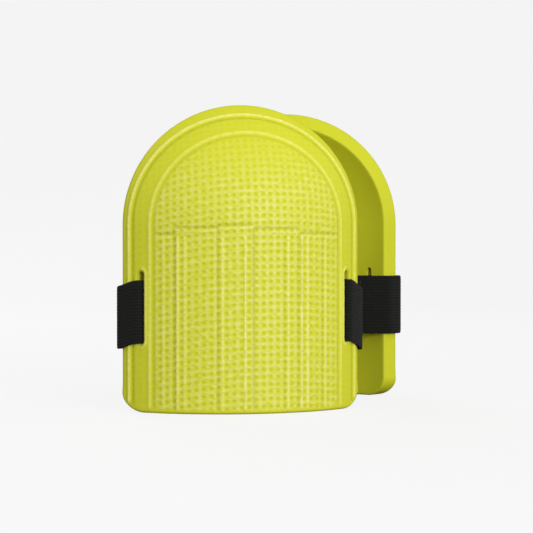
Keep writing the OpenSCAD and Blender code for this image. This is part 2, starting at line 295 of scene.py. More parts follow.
def quads_between(rings, columns, closed=True):
    """Corner numbers of the quads between rings that follow each other, each of the same number of points."""
    i, j = np.meshgrid(np.arange(rings - 1), np.arange(columns if closed else columns - 1), indexing="ij")
    k = (j + 1) % columns
    corners = [i * columns + j, (i + 1) * columns + j, (i + 1) * columns + k, i * columns + k]
    return np.stack(corners, -1).reshape(-1, 4)


def shell_object(name):
    """The closed foam shell: quads between rings, and a fan of triangles at each pole."""
    rings, marks = shell_rings()
    count, columns = rings.shape[:2]
    poles = shell_point(np.array([POLE[0]] * 2), np.array([POLE[1]] * 2), np.array([0, FOAM_T]))
    points = np.concatenate([rings.reshape(-1, 3), poles])
    j = np.arange(columns)
    k = (j + 1) % columns
    last = (count - 1) * columns
    front = np.stack([np.full(columns, count * columns), j, k], -1)
    back = np.stack([np.full(columns, count * columns + 1), last + k, last + j], -1)
    faces = quads_between(count, columns).tolist() + front.tolist() + back.tolist()
    obj = mesh_object(name, points, faces)
    marks = np.concatenate([marks.reshape(-1, 4), [[*POLE, 0, 1], [*POLE, 0, 0]]]).astype(np.float32)
    place = obj.data.attributes.new("mould_place", "FLOAT_VECTOR", "POINT")
    flat = np.column_stack([marks[:, :2], np.zeros(len(marks), np.float32)])
    place.data.foreach_set("vector", flat.ravel())
    for column, label in ((2, "relief"), (3, "field")):
        level = obj.data.attributes.new(label, "FLOAT", "POINT")
        level.data.foreach_set("value", marks[:, column].copy())
    return obj


def punch(name):
    """Cutter for both slots: a round-ended outline carried straight through the foam along its own radius."""
    half = 17
    turns = np.concatenate([np.linspace(0, pi, half), np.linspace(pi, 2 * pi, half)])
    ends = np.repeat([SLOT_Z[1] - SLOT_W / 2, SLOT_Z[0] + SLOT_W / 2], half)
    side = SLOT_W / 2 * np.cos(turns)
    height = ends + SLOT_W / 2 * np.sin(turns)
    ring = np.arange(2 * half)
    points, faces = [], []
    for a in (-SLOT_A, SLOT_A):
        for radius in (SHELL_R + PUNCH_OVER, SHELL_R - FOAM_T - PUNCH_OVER):
            xy = radius * out_dir(a) + side[:, None] * np.array([cos(a), sin(a)]) + [0, AXIS_Y]
            points.append(np.column_stack([xy, height]))
        first = (len(points) - 2) * len(ring)
        faces += (quads_between(2, len(ring)) + first).tolist()
        faces += [(first + ring).tolist(), (first + len(ring) + ring[::-1]).tolist()]
    return mesh_object(name, np.concatenate(points), faces)


def apply_modifiers(obj):
    """Gives the object the mesh that its modifiers make, and takes them off."""
    deps = bpy.context.evaluated_depsgraph_get()
    solved = obj.evaluated_get(deps)
    mesh = bpy.data.meshes.new_from_object(solved, preserve_all_data_layers=True, depsgraph=deps)
    obj.modifiers.clear()
    obj.data = mesh


def faces_outwards(obj):
    """Turns the mesh's faces over if its volume, summed face by face, comes out negative."""
    work = bmesh.new()
    work.from_mesh(obj.data)
    if work.calc_volume(signed=True) < 0:
        bmesh.ops.reverse_faces(work, faces=work.faces)
    work.to_mesh(obj.data)
    work.free()


REAR_TURN = radians(180 - 11)   # 11 degrees short of back to back
REAR_FOOT = next(m["pos_m"] for m in frame["record"]["mounts"] if m["name"] == "rear_pad_foot")


def in_place(points, pad):
    """Points of a pad in its own frame, moved to where the front or the rear pad stands."""
    if pad == "front":
        return points
    c, s = cos(REAR_TURN), sin(REAR_TURN)
    turned = points @ np.array([[c, s, 0], [-s, c, 0], [0, 0, 1]])
    return turned + np.array(REAR_FOOT)


def vertices_of(obj):
    """The places of a mesh's vertices, as an array of points."""
    points = np.empty(len(obj.data.vertices) * 3, np.float32)
    obj.data.vertices.foreach_get("co", points)
    return points.reshape(-1, 3)


def move_vertices(obj, points):
    """Moves a mesh's vertices to new places."""
    obj.data.vertices.foreach_set("co", points.astype(np.float32).ravel())
    obj.data.update()


def stand(obj, pad):
    """Moves the mesh of a piece made in its pad's own frame to where the front or the rear pad stands."""
    move_vertices(obj, in_place(vertices_of(obj), pad))
    return obj


def linear(r, g, b):
    """A colour given as 0 to 255 on a screen, in the shader's linear values."""
    c = np.array([r, g, b]) / 255
    return (*np.where(c <= 0.04045, c / 12.92, ((c + 0.055) / 1.055) ** 2.4), 1.0)


class Nodes:
    """Short names for adding and linking the nodes of one material or node group."""

    def __init__(self, tree):
        self.tree = tree

    def add(self, kind, inputs=(), **settings):
        """A new node with its settings, and with its inputs linked to a socket or set to a value."""
        node = self.tree.nodes.new(kind)
        for key, value in settings.items():
            setattr(node, key, value)
        for socket, value in dict(inputs).items():
            if isinstance(value, bpy.types.NodeSocket):
                self.link(value, node, socket)
            else:
                node.inputs[socket].default_value = value
        return node

    def link(self, value, node, socket):
        """Links a value to a node's input."""
        self.tree.links.new(value, node.inputs[socket])

    def math(self, operation, a, b=0.0, c=0.0):
        """A sum, product or other operation on up to three numbers."""
        return self.add("ShaderNodeMath", {0: a, 1: b, 2: c}, operation=operation).outputs[0]

    def mix(self, factor, a, b):
        """Colour a, and colour b in its place as far as the factor says."""
        return self.add("ShaderNodeMix", {0: factor, 6: a, 7: b}, data_type="RGBA").outputs[2]

    def span(self, value, start, end, low, high, **settings):
        """The stretch from start to end laid on the one from low to high, and held beyond it."""
        inputs = {0: value, 1: start, 2: end, 3: low, 4: high}
        return self.add("ShaderNodeMapRange", inputs, **settings).outputs[0]

    def marked(self, label, output="Fac"):
        """The mesh's attribute of that name."""
        return self.add("ShaderNodeAttribute", attribute_name=label).outputs[output]

    def bump(self, shader, height, strength, distance):
        """Tilts a shader's normal by a height."""
        inputs = {"Height": height, "Strength": strength, "Distance": distance}
        self.link(self.add("ShaderNodeBump", inputs).outputs[0], shader, "Normal")


def new_material(name, **settings):
    """A material with its Principled BSDF, whose plain settings are set on the shader's own sockets."""
    material = bpy.data.materials.new(name)
    material.use_nodes = True
    shader = material.node_tree.nodes["Principled BSDF"]
    for socket, value in settings.items():
        shader.inputs[socket.replace("_", " ")].default_value = value
    return material, Nodes(material.node_tree), shader


def new_group(name, inputs, outputs):
    """A shader node group with named float inputs and their first values, and named float outputs."""
    tree = bpy.data.node_groups.new(name, "ShaderNodeTree")
    for label, value in inputs.items():
        tree.interface.new_socket(label, in_out="INPUT", socket_type="NodeSocketFloat").default_value = value
    for label in outputs:
        tree.interface.new_socket(label, in_out="OUTPUT", socket_type="NodeSocketFloat")
    nodes = Nodes(tree)
    return tree, nodes, nodes.add("NodeGroupInput"), nodes.add("NodeGroupOutput")


def mottle_group():
    """Uneven surface, used by foam and webbing: soft patches and a fine grain, as masks and as a height."""
    scales = {"Patch": 30.0, "Grain": 900.0}
    tree, n, given, out = new_group("mottle", scales, ["Patches", "Speckle", "Height"])
    where = n.add("ShaderNodeTexCoord").outputs["Object"]
    patch = n.add("ShaderNodeTexNoise", {"Vector": where, "Scale": given.outputs["Patch"], "Detail": 4.0})
    grain = n.add("ShaderNodeTexNoise", {"Vector": where, "Scale": given.outputs["Grain"], "Detail": 3.0})
    pores = n.add("ShaderNodeTexVoronoi", {"Vector": where, "Scale": given.outputs["Grain"]})
    n.link(patch.outputs["Fac"], out, "Patches")
    n.link(grain.outputs["Fac"], out, "Speckle")
    n.link(n.math("MULTIPLY_ADD", pores.outputs["Distance"], 0.5, grain.outputs["Fac"]), out, "Height")
    return tree


MOTTLE = mottle_group()


def waffle_group():
    """The waffle's pits and the ridges between them, as masks, from the place on the mould's face."""
    tree, n, given, out = new_group("waffle", {"Field": 1.0}, ["Pits", "Ridges"])
    place = n.add("ShaderNodeSeparateXYZ", {0: n.marked("mould_place", "Vector")})
    from_crown = n.math("ABSOLUTE", n.math("SUBTRACT", place.outputs[0], ROW_CROWN))
    up = n.math("MULTIPLY_ADD", n.math("POWER", from_crown, 2.0), ROW_BOW, place.outputs[1])
    away = []
    for at, step, shift in ((place.outputs[0], PIT_STEP[0], 0.5), (up, PIT_STEP[1], 0.0)):
        steps = n.math("SUBTRACT", n.math("DIVIDE", at, step), shift)
        away.append(n.math("ABSOLUTE", n.math("SUBTRACT", steps, n.math("ROUND", steps))))
    distance = n.math("SQRT", n.math("ADD", n.math("POWER", away[0], 2.0), n.math("POWER", away[1], 2.0)))
    for label, start, end, low, high in (("Pits", 0.08, 0.34, 1.0, 0.0), ("Ridges", 0.18, 0.50, 0.0, 1.0)):
        mask = n.span(distance, start, end, low, high, interpolation_type="SMOOTHSTEP")
        n.link(n.math("MULTIPLY", mask, given.outputs["Field"]), out, label)
    return tree


WAFFLE = waffle_group()

RELIEF_SHADING_RAMP = ((0.12, (164, 168, 1)), (0.38, (188, 192, 4)), (0.50, (204, 206, 16)), (0.62, (218, 217, 72)),
             (0.95, (236, 231, 130)))       # from painted shade in the furrows to painted highlight on the beads, with the plain face at 0.5
PAINTED_LIGHT_SPAN = (0.36, 0.64)         # the stretch of the noise between the weakest and the strongest painted highlight and shade


def foam_material():
    """Yellow-green foam. What stands proud has a painted highlight and is less rough, and pits and furrows
    have painted shade.
    """
    material, n, shader = new_material("foam", IOR=1.45, Specular_IOR_Level=0.32)
    mottle = n.add("ShaderNodeGroup", {"Patch": 26.0, "Grain": 1300.0}, node_tree=MOTTLE)
    waffles = n.add("ShaderNodeGroup", {"Field": n.marked("field")}, node_tree=WAFFLE)
    along_face = {"Vector": n.marked("mould_place", "Vector"), "Scale": (0.7, 1.5, 1.0)}
    face = n.add("ShaderNodeMapping", along_face).outputs[0]
    # A noise in short dashes along the face, which breaks up the painted highlights and shade.
    light_breakup = n.add("ShaderNodeTexNoise", {"Vector": face, "Scale": 360.0, "Detail": 2.0}).outputs["Fac"]
    height_mm = n.math("MULTIPLY", n.marked("relief"), n.span(light_breakup, *PAINTED_LIGHT_SPAN, 0.3, 0.8))
    # The relief picks the colour: painted shade in furrows, creases, grooves and round the slots, and painted
    # highlight on beads, ribs and welts.
    ramp = n.add("ShaderNodeValToRGB", {"Fac": n.math("ADD", height_mm, 0.5)})
    stops = ramp.color_ramp.elements
    stops.remove(stops[1])
    stops[0].position, stops[0].color = RELIEF_SHADING_RAMP[0][0], linear(*RELIEF_SHADING_RAMP[0][1])
    for position, colour in RELIEF_SHADING_RAMP[1:]:
        stops.new(position).color = linear(*colour)
    dull = n.math("MULTIPLY_ADD", mottle.outputs["Patches"], 0.5, -0.1)
    shade = n.mix(dull, ramp.outputs[0], linear(195, 199, 5))
    # Painted highlight on the ridges between the pits.
    ridge_highlight = n.math("MULTIPLY", waffles.outputs["Ridges"], n.span(light_breakup, *PAINTED_LIGHT_SPAN, 0.02, 0.45))
    highlighted = n.mix(ridge_highlight, shade, linear(238, 231, 158))
    # Painted shade in the pits.
    pit_shaded = n.mix(n.math("MULTIPLY", waffles.outputs["Pits"], 0.52), highlighted, linear(184, 187, 2))
    grain = n.math("MULTIPLY", mottle.outputs["Speckle"], 0.08)
    n.link(n.mix(grain, pit_shaded, linear(236, 238, 150)), shader, "Base Color")
    worn = n.math("MULTIPLY_ADD", waffles.outputs["Ridges"], -0.16, 0.52)
    n.link(n.math("MULTIPLY_ADD", mottle.outputs["Patches"], 0.16, worn), shader, "Roughness")
    height = n.math("MULTIPLY_ADD", waffles.outputs["Pits"], -1.2, mottle.outputs["Height"])
    n.bump(shader, height, 0.4, 0.12 * MM)
    return material


FOAM = foam_material()


def dress(obj, pad, body, slot, material, *nodes):
    """Gives a piece its material, its body and the CAD nodes that it stands for."""
    obj.data.materials.clear()
    obj.data.materials.append(material)
    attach(obj, f"{pad}_{body}")
    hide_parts(*[f"{pad}_{node}" for node in nodes])


front_shell = shell_object("front_shell")
faces_outwards(front_shell)
cutter = punch("slot_punch")
faces_outwards(cutter)
cut = front_shell.modifiers.new("slots", "BOOLEAN")
cut.operation, cut.solver, cut.object = "DIFFERENCE", "EXACT", cutter
apply_modifiers(front_shell)
bpy.data.objects.remove(cutter)
smoothed(front_shell.data)
rear_shell = stand(scene_object("rear_shell", front_shell.data.copy()), "rear")
for pad, shell in zip(PADS, (front_shell, rear_shell)):
    dress(shell, pad, "pad", "foam", FOAM, "foam_pad")

# ------------------------------
# Elastic webbing. One band of black ribbed elastic, woven 40 mm wide, is sewn to itself round the foam
# bridge beyond one slot, crosses the hollow side, and comes out through the other slot and round its edge.

WEB_W = 40 * MM
WEB_T = 1.6 * MM
WEB_Z = 63.5 * MM           # middle of the webbing where it passes the slots
WEB_GAP = 0.3 * MM          # between the webbing and the foam's faces
EDGE_SLACK = 2.4 * MM       # between the webbing and the foam's side edge
BEND_SLOT, BEND_MOUTH, BEND_EDGE, BEND_BACK = 2.6 * MM, 3 * MM, 5 * MM, 4 * MM
HOOK_T, LOOP_T, TAPE_GAP, PLY_GAP = 1.2 * MM, 1.0 * MM, 0.3 * MM, 0.1 * MM
LANDING, SEWN = 16 * MM, 22 * MM       # the sewn ply's run down onto the band, and its length on it
BAND_END, TAIL_START = 4.5 * MM, 4.7 * MM      # before the tail's root; they lap, so that no gap shows
WEB_OUT_R = SHELL_R + OUTER_BEAD[2] + WEB_GAP + WEB_T / 2
EDGE_OFF = EDGE_SLACK + WEB_T / 2
TAIL_Y = AXIS_Y - (SHELL_R - FOAM_T) * cos(WRAP) + WEB_GAP + WEB_T / 2
BAND_Y = TAIL_Y - WEB_T - HOOK_T - TAPE_GAP - LOOP_T
SEWN_Y = BAND_Y + WEB_T + PLY_GAP
# How much lower the webbing lies than at the slots: past the free side's edge, past the sewn side's edge, and
# in the middle of the hollow side. The drops begin just past the slot, and are whole just past the edge.
EDGE_DROP = {"front": 4.0 * MM, "rear": 0.0}
SEWN_DROP = {"front": 6.5 * MM, "rear": 0.0}
MIDDLE_DROP = {"front": 3.0 * MM, "rear": 0.0}
SIDE_RUN = np.array([-sin(WRAP), cos(WRAP)])   # the sewn side's way in plan, from the edge to the hollow
TRIM = 0.01                 # of the outer run's ends, in radians, so that no two points meet
FREE_FROM, SEWN_FROM, DROPPED = SLOT_A + 0.01, SLOT_A + 0.005, WRAP + 0.03
SINK_FROM = (26 * MM, 54 * MM)      # across, where the band has sunk wholly and not at all
RIBS_ACROSS = 20
RIB_H = 0.14 * MM
PATH_STEP = 0.8 * MM


def arc(centre, radius, a0, a1, step=0.5 * MM):
    """Points of an arc in plan about a centre, from angle a0 to a1, counted from -Y towards +X."""
    count = max(3, int(abs(a1 - a0) * radius / step) + 1)
    return np.asarray(centre) + radius * out_dir(np.linspace(a0, a1, count))


def cross_centre(y, radius, a, off):
    """Centre of a bend that touches the line at height y in plan and a line beside the ray at angle a."""
    return np.array([(off + (AXIS_Y - y + radius) * sin(a)) / cos(a), y - radius])


def bend_on_circle(radius, a, off):
    """Angle and centre of a bend that touches the webbing's outer circle and a line beside the ray at a."""
    angle = a + np.arcsin(off / (WEB_OUT_R - radius))
    return angle, (WEB_OUT_R - radius) * out_dir(angle) + [0, AXIS_Y]


TAIL_ROOT = cross_centre(TAIL_Y, 0, WRAP, EDGE_OFF)
mouth_c = cross_centre(BAND_Y, BEND_MOUTH, SLOT_A, -BEND_MOUTH)
slot_turn, slot_c = bend_on_circle(BEND_SLOT, SLOT_A, BEND_SLOT)
edge_turn, edge_c = bend_on_circle(BEND_EDGE, WRAP, EDGE_OFF - BEND_EDGE)
back_c = cross_centre(TAIL_Y, BEND_BACK, WRAP, EDGE_OFF - BEND_BACK)
LANDING_X = mouth_c[0] - 1 * MM     # where the sewn ply has come down onto the band


def even(path):
    """The same path with points an even step apart."""
    length = run_along(path)[-1]
    return at_lengths(path, np.linspace(0, length, int(length / PATH_STEP) + 1))


def half_route():
    """Plan of the webbing's middle from the band's middle, out through a slot and round the foam's edge."""
    return np.concatenate([
        [[0, BAND_Y]],
        arc(mouth_c, BEND_MOUTH, pi, pi / 2 + SLOT_A),
        arc(slot_c, BEND_SLOT, SLOT_A - pi / 2, slot_turn),
        arc((0, AXIS_Y), WEB_OUT_R, slot_turn + TRIM, edge_turn - TRIM),
        arc(edge_c, BEND_EDGE, edge_turn, pi / 2 + WRAP),
    ])


def band_route():
    """The free side's end, the band, and the sewn side, which eases down onto the band and lies on it."""
    t = np.linspace(0, 1, 24)
    landing = np.stack([LANDING_X + LANDING * (1 - t), TAIL_Y + (SEWN_Y - TAIL_Y) * ease(t, 0, 1)], -1)
    half = half_route()
    free = np.concatenate([half, [TAIL_ROOT - BAND_END * SIDE_RUN]])
    return_bend = arc(back_c, BEND_BACK, pi / 2 + WRAP, pi)
    sewn = np.concatenate([half, return_bend, landing, [[LANDING_X - SEWN, SEWN_Y]]])
    return even(np.concatenate([(free * [-1, 1])[:0:-1], sewn[1:]]))


def band_sink(x, pad):
    """How far the band has sunk at a place across it: none near the slots, and all of it in the middle."""
    return MIDDLE_DROP[pad] * ease(-np.abs(x), -SINK_FROM[1], -SINK_FROM[0])


def band_drop(xy, pad):
    """How far the webbing has sunk at each point of its route: as the band on the hollow side. Past the slots
    it eases to the free or the sewn side's drop, and the sewn ply eases back to the band's."""
    across = np.abs(xy[:, 0])
    radius = np.hypot(across, AXIS_Y - xy[:, 1])
    angle = np.arctan2(across, AXIS_Y - xy[:, 1])
    free = EDGE_DROP[pad] * ease(angle, FREE_FROM, DROPPED)
    past = np.where(xy[:, 0] > 0, SEWN_DROP[pad] * ease(angle, SEWN_FROM, DROPPED), free)
    to_edge = ease(across, LANDING_X - 16 * MM, LANDING_X + 14 * MM)
    lapped = band_sink(xy[:, 0], pad) * (1 - to_edge) + SEWN_DROP[pad] * to_edge
    outside = radius > SHELL_R - FOAM_T - 4 * MM        # in a slot, or on the outer face
    over = xy[:, 1] > BAND_Y + WEB_T * 0.8              # beyond the band: the sewn ply, or round the edge
    on_top = over & ~outside & (across < TAIL_ROOT[0]) & (angle < WRAP + 0.2)
    return np.where(on_top, lapped, np.where(outside | over, past, band_sink(xy[:, 0], pad)))


def left_normals(path):
    """Unit normals to the left of a plan path, from the stretch between each point's two neighbours."""
    along = np.gradient(path, axis=0)
    along /= np.hypot(*along.T)[:, None]
    return np.stack([-along[:, 1], along[:, 0]], -1)


def web_section():
    """Closed outline of the webbing's section, as (across, thick). Each rib is one wave of a cosine, on both
    faces, and the two edges are rounded by a curve of the 24th power."""
    across = np.linspace(-1, 1, RIBS_ACROSS * 6 + 1)
    edge = np.sqrt(np.clip(1 - np.abs(across) ** 24, 0, 1))
    thick = WEB_T / 2 - RIB_H * (0.5 + 0.5 * np.cos(pi * RIBS_ACROSS * (across + 1)))
    face = np.stack([across * WEB_W / 2, thick * edge], -1)
    return np.concatenate([face, (face * [1, -1])[::-1][1:-1]])


def closed_ends(rings, columns):
    """Faces of a closed tube: the quads between its rings, and one face over each end."""
    first, last = list(range(columns)), list(range((rings - 1) * columns, rings * columns))
    return quads_between(rings, columns).tolist() + [first, last[::-1]]


def lay_uv(obj, places):
    """A UV map from each vertex's place along and across the weave, in metres."""
    corners = np.empty(len(obj.data.loops), np.int32)
    obj.data.loops.foreach_get("vertex_index", corners)
    layer = obj.data.uv_layers.new(name="web")
    layer.data.foreach_set("uv", places[corners].astype(np.float32).ravel())


def swept(name, path, drop, section):
    """A section carried along a plan path: its first measure runs up, its second along the path's left
    normal. The UV map holds the length along the path and the place across the section, in metres."""
    count, around = len(path), len(section)
    points = np.zeros((count, around, 3))
    points[:, :, :2] = path[:, None] + section[None, :, 1:] * left_normals(path)[:, None]
    points[:, :, 2] = WEB_Z - drop[:, None] + section[None, :, 0]
    obj = mesh_object(name, points.reshape(-1, 3), closed_ends(count, around))
    faces_outwards(obj)
    uv = np.stack(np.broadcast_arrays(run_along(path)[:, None], section[None, :, 0]), -1)
    lay_uv(obj, uv.reshape(-1, 2))
    return obj


def weave_group():
    """Plain weave, used by webbing and tapes: threads that pass over and under by turns, from the UV map."""
    tree, n, given, out = new_group("weave", {"Along": 900.0, "Across": 500.0}, ["Height", "Gaps"])
    uv = n.add("ShaderNodeSeparateXYZ", {0: n.add("ShaderNodeUVMap", uv_map="web").outputs[0]})
    along = n.math("MULTIPLY", uv.outputs[0], given.outputs["Along"])
    across = n.math("MULTIPLY", uv.outputs[1], given.outputs["Across"])
    half_step = n.math("MULTIPLY", n.math("FLOOR", across), 0.5)
    thread = n.math("ABSOLUTE", n.math("SINE", n.math("MULTIPLY", n.math("ADD", along, half_step), pi)))
    cord = n.math("ABSOLUTE", n.math("SINE", n.math("MULTIPLY", across, pi)))
    height = n.math("MULTIPLY", n.math("POWER", thread, 0.7), n.math("POWER", cord, 0.5))
    n.link(height, out, "Height")
    n.link(n.math("SUBTRACT", 1.0, height), out, "Gaps")
    return tree


WEAVE = weave_group()


def textile(name, dark, light, along, across, depth, **settings):
    """A woven material: threads in one colour, painted shade in the gaps between them, uneven dye, some lint,
    and a bump from the weave.
    along and across are the threads a metre each way."""
    material, n, shader = new_material(name, **settings)
    weave = n.add("ShaderNodeGroup", {"Along": along, "Across": across}, node_tree=WEAVE)
    mottle = n.add("ShaderNodeGroup", {"Patch": 60.0, "Grain": 2400.0}, node_tree=MOTTLE)
    # Painted shade in the gaps of the weave.
    threads = n.mix(weave.outputs["Gaps"], light, dark)
    dyed = n.mix(n.math("MULTIPLY", mottle.outputs["Patches"], 0.4), threads, dark)
    lint = n.math("MULTIPLY", n.math("GREATER_THAN", mottle.outputs["Speckle"], 0.68), 0.25)
    n.link(n.mix(lint, dyed, linear(70, 70, 66)), shader, "Base Color")
    n.bump(shader, weave.outputs["Height"], 0.8, depth)
    return material


WEBBING = textile("webbing", linear(5, 5, 4), linear(25, 25, 21), 1100.0, 500.0, 0.25 * MM,
                  Roughness=0.8, Specular_IOR_Level=0.2, Sheen_Weight=0.06, Sheen_Roughness=0.5)

route = band_route()
for pad in PADS:
    band = stand(swept(f"{pad}_band", route, band_drop(route, pad), web_section()), pad)
    dress(band, pad, "strap", "webbing", WEBBING, "strap_band")

# ------------------------------
# Free tails. The webbing's free end comes round the side edge and closes back over the band. It peels off,
# bending at the edge, and its tip is folded over once and sewn into a hem.

TAIL_L = 50 * MM
HEM_L = 9 * MM
FOLD_R = WEB_T / 2 + 0.05 * MM
TAIL_BEND = 2.4 * MM
TAIL_FOOT = TAIL_ROOT * [-1, 1]             # the root on the free side, which is at -X
TIP_X = TAIL_FOOT[0] + TAIL_L


def tail_route():
    """From the side, round the edge and along the band to the tip, then over and back for the hem."""
    side = SIDE_RUN * [-1, 1]
    cut = TAIL_BEND * tan((pi / 2 - WRAP) / 2)
    tip = TIP_X - FOLD_R - WEB_T / 2
    lead = np.array([TAIL_FOOT - TAIL_START * side, TAIL_FOOT - cut * side])
    turn = arc(TAIL_FOOT + [cut, -TAIL_BEND], TAIL_BEND, pi + (pi / 2 - WRAP), pi)
    fold = arc((tip, TAIL_Y + FOLD_R), FOLD_R, 0, pi, 0.25 * MM)
    path = np.concatenate([lead, turn[1:], [[tip - 1 * MM, TAIL_Y]]])
    hem = np.array([[tip + WEB_T / 2 - HEM_L, TAIL_Y + 2 * FOLD_R]])
    return np.concatenate([even(path), fold, even(np.concatenate([fold[-1:], hem]))[1:]])


tail_path = tail_route()
for pad in PADS:
    tail_drop = np.full(len(tail_path), EDGE_DROP[pad])
    tail = stand(swept(f"{pad}_tail", tail_path, tail_drop, web_section()), pad)
    tail.data.materials.append(WEBBING)
    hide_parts(f"{pad}_strap_tail")
    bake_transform(tail)

# ------------------------------
# Hook tapes. Stiff nylon tape with rows of small moulded hooks, sewn under each tail. The hooks lean by
# turns, one row to the left and the next to the right.

TAPE_W = 37 * MM
HOOK_L = 30 * MM
HOOK_INSET = 1.5 * MM
TAPE_BASE = 0.45 * MM
TAPE_SOFT = 0.12 * MM       # chamfer of a tape's long edges
HOOK_R = 0.12 * MM          # from the middle of a hook's stem to its corners
HOOK_LEAN, HOOK_DIP = 0.42 * MM, 0.16 * MM
HOOK_SUNK = 0.1 * MM        # of its foot in the tape
HOOK_STEP = 1.25 * MM
HOOK_X = TIP_X - HOOK_INSET - HOOK_L


def slab(x, length, y0, y1):
    """Points and faces of a tape's flat strip: an eight-sided section, which is a rectangle with its corners
    cut, carried along X in even steps."""
    z0, z1, soft = WEB_Z - TAPE_W / 2, WEB_Z + TAPE_W / 2, TAPE_SOFT
    ys = np.array([y0, y0, y0 + soft, y1 - soft, y1, y1, y1 - soft, y0 + soft])
    zs = np.array([z0 + soft, z1 - soft, z1, z1, z1 - soft, z0 + soft, z0, z0])
    steps = np.linspace(x, x + length, 25)
    points = np.stack(np.broadcast_arrays(steps[:, None], ys[None], zs[None]), -1)
    return points.reshape(-1, 3), closed_ends(len(steps), len(ys))


def repeated(corners, copies, stride, first=0):
    """Faces again for each of many copies: the copies' points start at first and follow a stride apart."""
    starts = first + stride * np.arange(copies)
    return (corners[None] + starts[:, None, None]).reshape(-1, corners.shape[1]).tolist()


def tufts(name, base, arcs, radius):
    """A strip with many thin bent tubes on it, as one mesh. arcs holds each tube's middle line as (tubes,
    points, 3). Each of its points carries the same triangle, which faces along Y, and the ends are closed."""
    points, faces = base
    tubes, steps = arcs.shape[:2]
    around = np.arange(3) * 2 * pi / 3
    ring = radius * np.stack([np.cos(around), np.zeros(3), np.sin(around)], -1)
    walls = (arcs[:, :, None] + ring[None, None]).reshape(-1, 3)
    last = 3 * (steps - 1)
    for corners in (quads_between(steps, 3), np.array([[0, 1, 2]]), np.array([[last + 2, last + 1, last]])):
        faces = faces + repeated(corners, tubes, 3 * steps, len(points))
    obj = mesh_object(name, np.concatenate([points, walls]), faces)
    faces_outwards(obj)
    return obj


def lower(obj, pad, body):
    """Lowers a piece as far as what it is sewn to: the tail evenly, or the band at each place across."""
    points = vertices_of(obj)
    points[:, 2] -= EDGE_DROP[pad] if body == "tail" else band_sink(points[:, 0], pad)
    move_vertices(obj, points)


def sew_tape(name, pad, body, base, tubes, radius, material):
    """Makes a tape from its strip and its hooks or loops, with its UV map laid from length and height, and
    puts it on the body that it is sewn to."""
    tape = tufts(f"{pad}_{name}s", base, tubes, radius)
    lay_uv(tape, vertices_of(tape)[:, [0, 2]])
    lower(tape, pad, body)
    dress(stand(tape, pad), pad, body, f"{name}_tape", material, f"{name}_tape")


def hook_lines():
    """Middle lines of the hooks. A stem stands out of the tape along -Y, as a sine of the way along it, and
    leans over smoothly to one side, and its tip dips back."""
    xs = np.arange(HOOK_X + HOOK_STEP, HOOK_X + HOOK_L - HOOK_STEP / 2, HOOK_STEP)
    zs = WEB_Z + np.arange(-TAPE_W / 2 + HOOK_STEP, TAPE_W / 2 - HOOK_STEP / 2, HOOK_STEP)
    gx, gz = np.meshgrid(xs, zs, indexing="ij")
    lean = np.where(np.arange(len(xs))[:, None] % 2, 1.0, -1.0) * np.ones_like(gz)
    t = np.linspace(0, 1, 6)
    root_y = TAIL_Y - WEB_T / 2 - TAPE_BASE
    reach = HOOK_T - TAPE_BASE - HOOK_R
    side = HOOK_LEAN * ease(t, 0.35, 1.0)
    fall = reach * np.sin(np.minimum(t * 1.35, 1.15) * pi / 2) ** 0.9
    fall[-1] -= HOOK_DIP
    lines = np.zeros((gx.size, 6, 3))
    lines[:, :, 0] = gx.reshape(-1, 1) + lean.reshape(-1, 1) * side
    lines[:, :, 1] = root_y + HOOK_SUNK - fall
    lines[:, :, 2] = gz.reshape(-1, 1)
    return lines


HOOKS = textile("hook_tape", linear(9, 9, 9), linear(30, 30, 30), 700.0, 700.0, 0.1 * MM,
                Roughness=0.42, Specular_IOR_Level=0.5)
tape_top = TAIL_Y - WEB_T / 2
hook_base = slab(HOOK_X, HOOK_L, tape_top - TAPE_BASE, tape_top)
for pad in PADS:
    sew_tape("hook", pad, "tail", hook_base, hook_lines(), HOOK_R, HOOKS)

# ------------------------------
# Loop tapes. Soft knitted nylon tape with a pile of fine loops, which the hooks catch. It is sewn flat on
# the band along all four sides, where the tail closes.

LOOP_L = 52 * MM
LOOP_X = 2 * MM - mouth_c[0]
PILE_BASE = 0.5 * MM
PILE_R = 0.09 * MM
PILE_SUNK = 0.05 * MM
PILE_SCATTER = 0.35         # as a share of the step, each way
PILE_SPAN = (0.35, 0.75)    # millimetres from a loop's middle to its foot, at least and at most
PILE_TALL = (0.3, 0.5)
PILE_STEP = 1.05 * MM


def pile_lines():
    """Middle lines of the loops: half ellipses over the tape, each placed, turned and sized by a draw."""
    draw = np.random.default_rng(7)
    xs = np.arange(LOOP_X + PILE_STEP, LOOP_X + LOOP_L - PILE_STEP / 2, PILE_STEP)
    zs = np.arange(-TAPE_W / 2 + PILE_STEP, TAPE_W / 2 - PILE_STEP / 2, PILE_STEP)
    gx, gz = (g.ravel() for g in np.meshgrid(xs, zs, indexing="ij"))
    gx = gx + draw.uniform(-PILE_SCATTER, PILE_SCATTER, gx.size) * PILE_STEP
    gz = gz + draw.uniform(-PILE_SCATTER, PILE_SCATTER, gz.size) * PILE_STEP
    turn = draw.uniform(0, pi, gx.size)[:, None]
    span = draw.uniform(*PILE_SPAN, gx.size)[:, None] * MM
    tall = draw.uniform(*PILE_TALL, gx.size)[:, None] * MM
    t = np.linspace(0, pi, 6)[None]
    lines = np.zeros((gx.size, 6, 3))
    lines[:, :, 0] = gx[:, None] + span * np.cos(t) * np.cos(turn)
    lines[:, :, 1] = BAND_Y + WEB_T / 2 + PILE_BASE - PILE_SUNK + tall * np.sin(t)
    lines[:, :, 2] = WEB_Z + gz[:, None] + span * np.cos(t) * np.sin(turn)
    return lines


